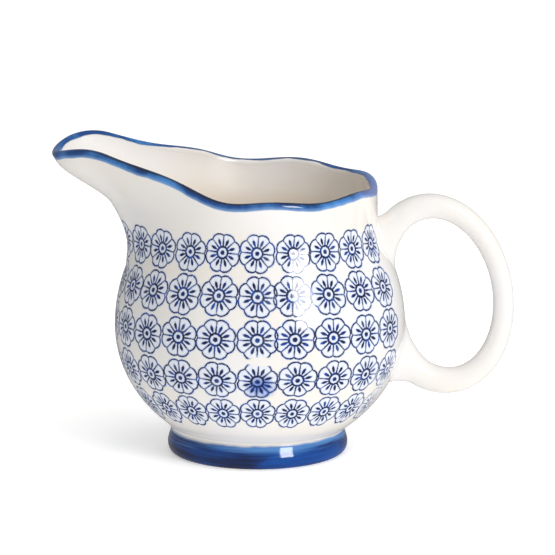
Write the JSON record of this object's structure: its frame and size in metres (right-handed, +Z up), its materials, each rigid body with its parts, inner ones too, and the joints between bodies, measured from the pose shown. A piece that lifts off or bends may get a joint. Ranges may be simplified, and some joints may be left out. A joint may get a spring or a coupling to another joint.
{
  "type": "cream jug",
  "caption": "Small bellied porcelain cream jug with a wide scoop spout, a ring handle, a wavy blue rim and stamped blue flowers, on a flared blue foot.",
  "frame": {"origin": "centre of the foot ring's flat resting face, on the surface that the jug stands on", "axes": "+Z up, +X toward the handle and -X toward the spout, +Y away from someone who faces the jug with the spout on their left"},
  "size_m": [0.1516, 0.0956, 0.1046],
  "materials": {
    "flowered_glaze": "glossy clear glaze over ivory-white porcelain, with stamped cobalt flowers and a brushed cobalt rim line",
    "white_glaze": "glossy clear glaze over ivory-white porcelain",
    "cobalt_glaze": "glossy clear glaze over a brushed cobalt band, with a bare, unglazed resting face"
  },
  "bodies": {
    "root": {"vessel_body": "flowered_glaze", "foot_ring": "cobalt_glaze", "foot_lute": "white_glaze", "ring_handle": "white_glaze", "upper_handle_lute": "white_glaze", "lower_handle_lute": "white_glaze"}
  },
  "joints": []
}
